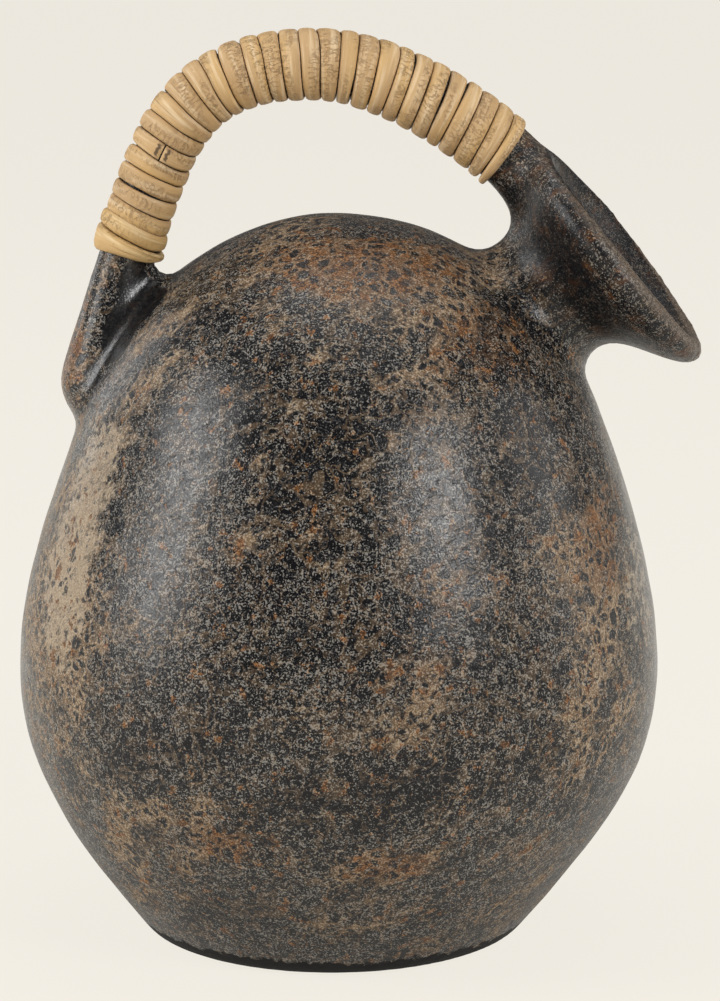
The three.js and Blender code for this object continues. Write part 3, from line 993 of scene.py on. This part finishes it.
@dataclass
class FiredClay:
    """The fired pot: body, spout and handle core grown into one glazed skin."""

    body: BodyOutline
    spout: SpoutShape
    arch: HandleArch
    floor: float = 7.0
    spout_fillet: float = 6.5
    leg_fillet: float = 2.8
    fine_voxel: float = 1.5
    skin_voxel: float = 2.3
    relaxing: int = 4
    root_end: float = 0.5
    root_inset: float = 3.0
    leg_start: float = 0.48
    unevenness: float = 0.35
    broad_lumps: float = 26.0
    small_lumps: float = 11.0
    flat_zone: tuple[float, float] = (2.0, 14.0)
    foot_zone: tuple[float, float] = (5.0, 75.0)
    left_zone: tuple[float, float] = (20.0, 80.0)
    rise_zone: tuple[float, float] = (110.0, 160.0)
    fall_zone: tuple[float, float] = (168.0, 186.0)
    foot_shift: float = -1.8
    shoulder_shift: float = 1.8

    def _cut(self, piece: Piece, cutter: Shape) -> None:
        """Take a cutter out of a piece, and delete it."""
        tool = mesh_object("cutter", cutter)
        change = piece.modifiers.new("cut", "BOOLEAN")
        change.operation = "DIFFERENCE"
        change.solver = "EXACT"
        change.object = tool
        settle(piece)
        bpy.data.objects.remove(tool)

    def _pot(self) -> Piece:
        """Return the hollow body with the bore through its shoulder."""
        pot = mesh_object("pot", spun(self.body.outer(), self.body.sides, False))
        self._cut(pot, spun(self.body.filled(-self.body.wall, self.floor), self.body.sides, False))
        self._cut(pot, self.spout.drill())
        return pot

    def _root(self) -> Piece:
        """Return the handle's spout half, its end cut off inside the spout's wall."""
        root = mesh_object("root_half", self.arch.rod(0.0, self.root_end))
        self._cut(root, self.spout.core(self.root_inset))
        return root

    def _leg(self) -> Piece:
        """Return the handle's leg half, its end cut off inside the body's wall."""
        leg = mesh_object("leg_half", self.arch.rod(self.leg_start, 1.0))
        inside = self.body.filled(-0.5 * self.body.wall, self.body.belly_height)
        self._cut(leg, spun(inside, self.body.sides, False))
        return leg

    def _weld(self, skin: Piece, voxel: float, push: float = 0.0) -> None:
        """Add a voxel weld to a skin, then push it outwards.

        Args:
            skin: the skin's object.
            voxel: size of a voxel in millimetres.
            push: how far outwards, in millimetres.
        """
        weld = skin.modifiers.new("weld", "REMESH")
        weld.mode = "VOXEL"
        weld.voxel_size = voxel * MM
        weld.use_smooth_shade = True
        if push:
            swell = skin.modifiers.new("swell", "DISPLACE")
            swell.direction = "NORMAL"
            swell.mid_level = 0.0
            swell.strength = push * MM

    def _grown(self, name: str, pieces: Sequence[Piece], fillet: float) -> Piece:
        """Grow pieces into one skin whose inner corners are rounded.

        Args:
            name: the skin's name.
            pieces: objects that overlap, which are deleted.
            fillet: radius of the rounding in millimetres.

        Returns:
            The skin's object.
        """
        made = bmesh.new()
        for piece in pieces:
            made.from_mesh(piece.data)
            bpy.data.objects.remove(piece)
        skin = mesh_object(name, made)
        self._weld(skin, self.fine_voxel, fillet)
        self._weld(skin, self.fine_voxel, -fillet)
        settle(skin)
        return skin

    def _wobble(self, skin: Piece) -> None:
        """Give the skin a thrown pot's slight unevenness and lean, and keep its foot flat."""
        outwards = [vert.normal.copy() for vert in skin.data.vertices]
        for vert, normal in zip(skin.data.vertices, outwards):
            place = vert.co / MM
            lift = noise.noise(place / self.broad_lumps) + 0.5 * noise.noise(place / self.small_lumps)
            share = smooth_step(place.z, *self.flat_zone) * self.unevenness
            aside = self.foot_shift * (1.0 - smooth_step(place.z, *self.foot_zone))
            left = smooth_step(-place.x, *self.left_zone) * smooth_step(place.z, *self.rise_zone)
            aside += self.shoulder_shift * left * (1.0 - smooth_step(place.z, *self.fall_zone))
            moved = vert.co + normal * (lift * share * MM)
            vert.co = (moved.x + aside * MM, moved.y, max(moved.z, 0.0))

    def build(self) -> Piece:
        """Return the finished skin."""
        trumpet = mesh_object("trumpet", self.spout.ring())
        jug = self._grown("jug", [self._pot(), trumpet, self._root()], self.spout_fillet)
        skin = self._grown("fired_clay", [jug, self._leg()], self.leg_fillet)
        self._weld(skin, self.skin_voxel)
        relax = skin.modifiers.new("relax", "SMOOTH")
        relax.factor = 0.5
        relax.iterations = self.relaxing
        settle(skin)
        self._wobble(skin)
        seat = self.spout.matrix()
        glaze = MottledGlaze(tuple(seat.translation / MM), tuple(seat.col[2].xyz), self.spout.length,
                             self.spout.mouth_radius, self.spout.mouth_lean)
        glaze.dress(skin)
        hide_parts("base_disc", "lower_bowl", "upper_dome", "spout", "handle_arch")
        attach(skin, "root")
        return skin


@dataclass
class CaneWinding:
    """The three strips of split cane wound round the handle, in millimetres."""

    arch: HandleArch
    pitch: float = 5.85
    binding_pitch: float = 4.7
    thickness: float = 1.75
    binding_thickness: float = 2.3
    seat: float = 0.15
    bare_root: float = 5.0
    long_turns: int = 22
    short_turns: int = 4
    binding_turns: int = 2
    lean_spout: float = 1.1
    lean_leg: float = -2.6
    end_flare: float = 3.6
    end_bulge: float = 0.5
    start_trim: float = 1.5
    start_draw: float = 1.8
    tuck: float = 0.45
    joint: float = 0.004
    binding_joint: float = 0.01
    stray: float = 2.2
    stray_most: float = 0.9
    ripple: float = 0.28
    gap_least: float = 0.10
    gap_swing: float = 2.0
    lift: float = 0.30
    roll: float = 0.42
    steps: int = 36

    def section(self) -> list[tuple[float, float]]:
        """Return the strip's section: share across, share of its thickness."""
        top = [(-0.985, 0.30), (-0.88, 0.64), (-0.66, 0.88), (-0.34, 0.975), (0.0, 1.0)]
        crown = top + [(-across, high) for across, high in reversed(top[:-1])]
        return [(-0.95, 0.05), *crown, (0.95, 0.05), (0.0, 0.04)]

    def border(self, turn: float) -> float:
        """Return how far the border between two turns strays from the middle between them."""
        broad = self.stray * noise.noise(Vector((turn * 1.37, 3.0, 0.0)))
        small = self.ripple * noise.noise(Vector((turn * 6.0, 41.0, 0.0)))
        return min(max(broad, -self.stray_most), self.stray_most) + small

    def gap(self, turn: float) -> float:
        """Return the gap at the border between two turns."""
        more = max(noise.noise(Vector((turn * 2.3, 57.0, 0.0))) - 0.10, 0.0)
        return self.gap_least + self.gap_swing * more

    def round_once(self) -> float:
        """Return the length of cane that one turn takes."""
        return 2.0 * math.pi * (self.arch.radius_spout + self.thickness)

    def distance(self, turn: float) -> float:
        """Return how far along the handle a turn lies."""
        wide = min(turn, self.long_turns + self.short_turns)
        start = self.arch.stations[0] + self.bare_root
        return start + wide * self.pitch + (turn - wide) * self.binding_pitch

    def ring(self, turn: float, pitch: float, thickness: float) -> list[Vector]:
        """Return one section of the strip, placed on the handle.

        Args:
            turn: turns from the spout's end.
            pitch: distance to the next turn.
            thickness: thickness of the strip.

        Returns:
            The section's points.
        """
        total = self.long_turns + self.short_turns + self.binding_turns
        angle = -2.0 * math.pi * turn + math.pi / 2
        lean = (self.lean_spout + (self.lean_leg - self.lean_spout) * turn / total) * math.cos(angle)
        ahead = 0.5 * pitch + self.border(turn + 0.5) - 0.5 * self.gap(turn + 0.5)
        behind = 0.5 * pitch - self.border(turn - 0.5) - 0.5 * self.gap(turn - 0.5)
        outer = 0.5 + 0.5 * math.cos(angle)
        ahead += self.end_flare * outer * smooth_step(turn, total - 0.9, total - 0.1)
        first = 1.0 - smooth_step(turn, 0.3, 1.0)
        behind -= self.start_trim * first
        drawn = self.start_draw * (1.0 - outer) * first
        ahead -= drawn
        thickness += self.end_bulge * smooth_step(turn, total - 1.2, total - 0.3)
        lift = self.lift * noise.noise(Vector((turn * 1.3, 23.0, 0.0))) - 0.5 * self.lift
        roll = self.roll * noise.noise(Vector((turn * 1.1, 37.0, 0.0)))
        middle = self.distance(turn) + lean + drawn
        points = []
        for across, high in self.section():
            rise = self.seat + high * thickness + (lift + roll * across) * high
            aside = across * (behind if across > 0.0 else ahead)
            points.append(self.arch.surface(middle - aside, angle, max(rise, 0.05)))
        return points

    def strip(self, name: str, node: str, slot: str, start: float, end: float,
              pitch: float, thickness: float, finish: SplitCane) -> Piece:
        """Build one strip.

        Args:
            name: the piece's name.
            node: the frame's node that it stands for.
            slot: not used.
            start: turn where it begins.
            end: turn where it ends.
            pitch: distance from turn to turn.
            thickness: its thickness.
            finish: its finish.

        Returns:
            The strip's object.
        """
        count = round((end - start) * self.steps)
        turns = [start + (end - start) * step / count for step in range(count + 1)]
        lengths = [turn * self.round_once() for turn in turns]
        shares = [across for across, _ in self.section()]
        rings = [self.ring(turn, pitch, thickness) for turn in turns]
        piece = mesh_object(name, swept(rings, lengths, shares))
        finish.dress(piece)
        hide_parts(node)
        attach(piece, "root")
        return piece

    def build(self) -> list[Piece]:
        """Return the long strip, the short strip and the end binding."""
        splice = float(self.long_turns)
        lock = splice + self.short_turns
        end = lock + self.binding_turns
        scars = (splice * self.round_once() - 2.2, splice * self.round_once() + 1.9)
        straw, yellow = SplitCane(CaneTone.STRAW, scars), SplitCane(CaneTone.YELLOW)
        wide = (self.pitch, self.thickness, straw)
        narrow = (self.binding_pitch, self.binding_thickness, yellow)
        rows = [
            ("cane_long_turns", "cane_strip_long", "cane", -self.tuck, splice - self.joint, *wide),
            ("cane_short_turns", "cane_strip_short", "cane", splice + self.joint, lock + self.tuck, *wide),
            ("cane_end_turns", "cane_end_binding", "pale_cane",
             lock + self.tuck + self.binding_joint, end + self.tuck, *narrow),
        ]
        return [self.strip(*row) for row in rows]


@dataclass
class Studio:
    """Pale floor, soft lights and the photograph's viewing angle."""

    ground: Colour = (0.863, 0.831, 0.761)
    glow: Colour = (0.900, 0.862, 0.786)
    fill: float = 0.13
    lens: float = 136.05
    camera_place: Triple = (0.0070, -1.2267, 0.3842)
    camera_tilt: float = 78.92

    def floor(self) -> Piece:
        """Lay a wide pale floor under the jug."""
        made = bmesh.new()
        bmesh.ops.create_grid(made, x_segments=1, y_segments=1, size=12.0)
        ground = mesh_object("floor", made)
        kit = Dressing("pale_floor")
        kit.put(kit.shader.inputs["Base Color"], self.ground)
        kit.put(kit.shader.inputs["Roughness"], 0.9)
        kit.put(kit.shader.inputs["Specular IOR Level"], 0.0)
        rays = kit.node("ShaderNodeLightPath", {}, {})
        seen = Signal(kit, rays.outputs["Is Camera Ray"]).most(Signal(kit, rays.outputs["Is Glossy Ray"]))
        seen = seen.most(Signal(kit, rays.outputs["Is Transmission Ray"]))
        glow = kit.node("ShaderNodeEmission", {}, {"Color": self.glow, "Strength": 1.0})
        mixed = kit.node("ShaderNodeMixShader", {}, {0: seen * 0.92, 1: kit.shader.outputs[0],
                                                     2: glow.outputs[0]})
        output = next(node for node in kit.tree.nodes if node.type == "OUTPUT_MATERIAL")
        kit.tree.links.new(mixed.outputs[0], output.inputs["Surface"])
        ground.data.materials.append(kit.material)
        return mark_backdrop(ground)

    def sky(self) -> None:
        """Surround the jug with even white light."""
        world = bpy.data.worlds.new("studio")
        world.use_nodes = True
        back = world.node_tree.nodes["Background"]
        back.inputs["Color"].default_value = (1.0, 0.985, 0.96, 1.0)
        back.inputs["Strength"].default_value = self.fill
        bpy.context.scene.world = world

    def lamp(self, name: str, place: Triple, size: tuple[float, float],
             power: float) -> Piece:
        """Hang one soft box that faces the jug.

        Args:
            name: the lamp's name.
            place: where it hangs, in metres.
            size: its width and height.
            power: its power in watts.

        Returns:
            The lamp's object.
        """
        light = bpy.data.lights.new(name, "AREA")
        light.shape = "RECTANGLE"
        light.size, light.size_y = size
        light.energy = power
        holder = bpy.data.objects.new(name, light)
        holder.location = place
        aim = Vector((0.0, 0.0, 0.14)) - Vector(place)
        holder.rotation_euler = aim.to_track_quat("-Z", "Y").to_euler()
        bpy.context.scene.collection.objects.link(holder)
        return holder

    def camera(self) -> Piece:
        """Set the camera up at the photograph's viewing angle."""
        data = bpy.data.cameras.new("camera")
        data.lens = self.lens
        data.clip_end = 60.0
        holder = bpy.data.objects.new("camera", data)
        holder.location = self.camera_place
        holder.rotation_euler = (math.radians(self.camera_tilt), 0.0, 0.0)
        bpy.context.scene.collection.objects.link(holder)
        bpy.context.scene.camera = holder
        return holder

    def build(self) -> None:
        """Set up floor, sky, lamps, camera and view."""
        self.floor()
        self.sky()
        self.lamp("left_box", (-1.82, -0.58, 0.95), (0.9, 1.5), 36.0)
        self.lamp("right_box", (1.20, -1.30, 0.95), (0.6, 0.7), 22.0)
        self.lamp("top_box", (0.1, 0.2, 1.8), (1.4, 1.4), 12.0)
        self.lamp("left_rim", (-1.30, 1.20, 0.70), (0.5, 1.0), 4.0)
        self.lamp("right_rim", (1.90, 0.10, 0.60), (0.6, 1.0), 6.0)
        self.camera()
        bpy.context.scene.view_settings.view_transform = "Standard"


def main() -> None:
    """Build the studio and the jug, and report each piece."""
    logging.basicConfig(level=logging.INFO, format="%(name)s: %(message)s")
    Studio().build()
    body = BodyOutline()
    spout = SpoutShape(body)
    arch = HandleArch(body, spout)
    pieces = [FiredClay(body, spout, arch).build(), *CaneWinding(arch).build()]
    for piece in pieces:
        LOG.info("%s has %d faces", piece.name, len(piece.data.polygons))


if __name__ == "__main__":
    main()
